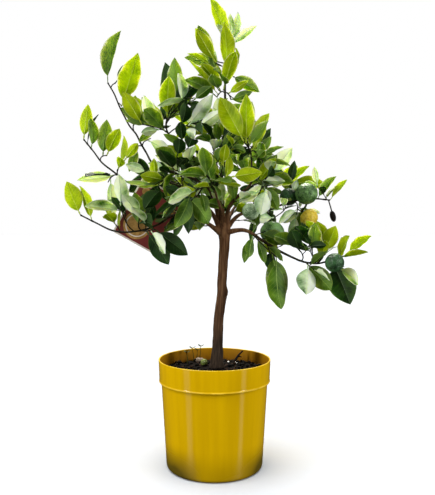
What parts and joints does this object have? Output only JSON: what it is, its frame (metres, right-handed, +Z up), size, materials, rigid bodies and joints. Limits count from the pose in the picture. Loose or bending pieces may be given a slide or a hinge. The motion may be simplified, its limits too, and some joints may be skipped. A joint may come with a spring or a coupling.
{
  "type": "potted citrus tree",
  "caption": "Young citrus standard with green fruit in a tapering yellow plastic pot with a deep collar, a label card hung from one bough.",
  "frame": {"origin": "middle of the pot's flat underside", "axes": "+Z up along the pot's axis, -Y towards the viewer of the picture, +X to that viewer's right"},
  "size_m": [0.529, 0.4241, 0.8374],
  "materials": {
    "pot": "glossy yellow moulded plastic",
    "soil": "dark crumbly potting compost",
    "bark": "light brown bark with long ridges",
    "leaf": "glossy green leaves",
    "card": "printed reddish brown plastic card"
  },
  "bodies": {
    "root": {"pot": "pot", "soil": "soil", "trunk": "bark", "bough_leader": "bark", "bough_left": "bark", "bough_left_mid": "bark", "bough_left_low": "bark", "bough_left_upper": "bark", "bough_right_low": "bark", "bough_right_mid": "bark", "bough_right_upper": "bark", "bough_front": "bark", "bough_back_left": "bark", "bough_back_right": "bark", "label_card": "card", "foliage_top": "leaf", "foliage_upper_left": "leaf", "foliage_far_upper_left": "leaf", "foliage_left_mid": "leaf", "foliage_left_low": "leaf", "foliage_left_centre": "leaf", "foliage_right_low": "leaf", "foliage_low_centre": "leaf", "foliage_right_mid": "leaf", "foliage_right_centre": "leaf", "foliage_right_upper": "leaf", "foliage_centre": "leaf", "foliage_front": "leaf", "foliage_back_left": "leaf", "foliage_back_right": "leaf", "foliage_back_top": "leaf"}
  },
  "joints": []
}
